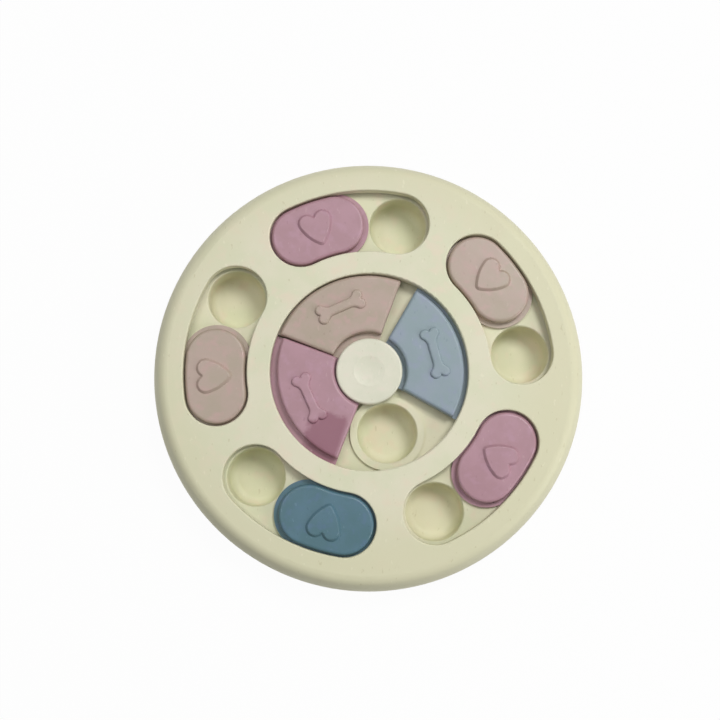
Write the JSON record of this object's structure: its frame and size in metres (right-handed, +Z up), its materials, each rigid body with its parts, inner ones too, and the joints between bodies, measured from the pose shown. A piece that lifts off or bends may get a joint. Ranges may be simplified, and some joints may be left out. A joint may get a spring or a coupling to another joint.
{
  "type": "dog puzzle feeder toy",
  "caption": "Round slider puzzle feeder: heart lids slide in kidney slots, bone sectors turn round a centre cap, over trays of treat cups.",
  "frame": {"origin": "on the floor under the middle of the toy, at the level of the feet's undersides", "axes": "+Z up out of the cover; +X to the right and +Y away from the user, with the free inner cup towards -Y"},
  "size_m": [0.24, 0.24, 0.031],
  "materials": {
    "cream_plastic": "cream-green wheat-straw plastic, satin",
    "pale_cream_plastic": "paler cream plastic, satin",
    "beige_plastic": "pink-beige plastic, satin",
    "mauve_plastic": "dusty mauve plastic, satin",
    "slate_blue_plastic": "slate blue plastic, satin",
    "light_blue_plastic": "light grey-blue plastic, satin",
    "screw_steel": "zinc-plated steel",
    "foot_rubber": "pale grey soft rubber, matt"
  },
  "bodies": {
    "housing": {"top_cover": "cream_plastic", "base_shell": "cream_plastic", "well_tray": "cream_plastic", "centre_cap": "pale_cream_plastic", "cap_screw": "screw_steel", "case_screws": "screw_steel", "cup_tray_1": "cream_plastic", "cup_tray_2": "cream_plastic", "cup_tray_3": "cream_plastic", "cup_tray_4": "cream_plastic", "cup_tray_5": "cream_plastic", "foot_pad_1": "foot_rubber", "foot_pad_2": "foot_rubber", "foot_pad_3": "foot_rubber", "foot_pad_4": "foot_rubber", "foot_pad_5": "foot_rubber"},
    "slider_1": {"heart_slider_1": "beige_plastic"},
    "slider_2": {"heart_slider_2": "mauve_plastic"},
    "slider_3": {"heart_slider_3": "beige_plastic"},
    "slider_4": {"heart_slider_4": "slate_blue_plastic"},
    "slider_5": {"heart_slider_5": "mauve_plastic"},
    "sector_blue": {"bone_sector_blue": "light_blue_plastic"},
    "sector_beige": {"bone_sector_beige": "beige_plastic"},
    "sector_mauve": {"bone_sector_mauve": "mauve_plastic"}
  },
  "joints": [
    {"name": "heart_slide_1", "type": "hinge", "parent": "housing", "child": "slider_1", "pos_m": [0, 0, 0.0235], "axis": [0, 0, 1], "range_deg": [-24.5, 0.5]},
    {"name": "heart_slide_2", "type": "hinge", "parent": "housing", "child": "slider_2", "pos_m": [0, 0, 0.0235], "axis": [0, 0, 1], "range_deg": [-24.5, 0.5]},
    {"name": "heart_slide_3", "type": "hinge", "parent": "housing", "child": "slider_3", "pos_m": [0, 0, 0.0235], "axis": [0, 0, 1], "range_deg": [-24.5, 0.5]},
    {"name": "heart_slide_4", "type": "hinge", "parent": "housing", "child": "slider_4", "pos_m": [0, 0, 0.0235], "axis": [0, 0, 1], "range_deg": [-24.5, 0.5]},
    {"name": "heart_slide_5", "type": "hinge", "parent": "housing", "child": "slider_5", "pos_m": [0, 0, 0.0235], "axis": [0, 0, 1], "range_deg": [-24.5, 0.5]},
    {"name": "sector_turn_blue", "type": "hinge", "parent": "housing", "child": "sector_blue", "pos_m": [0, 0, 0.0235], "axis": [0, 0, 1], "range_deg": [-76.5, 9.5]},
    {"name": "sector_turn_beige", "type": "hinge", "parent": "housing", "child": "sector_beige", "pos_m": [0, 0, 0.0235], "axis": [0, 0, 1], "range_deg": [-9.5, 0]},
    {"name": "sector_turn_mauve", "type": "hinge", "parent": "housing", "child": "sector_mauve", "pos_m": [0, 0, 0.0235], "axis": [0, 0, 1], "range_deg": [0, 76.5]}
  ]
}
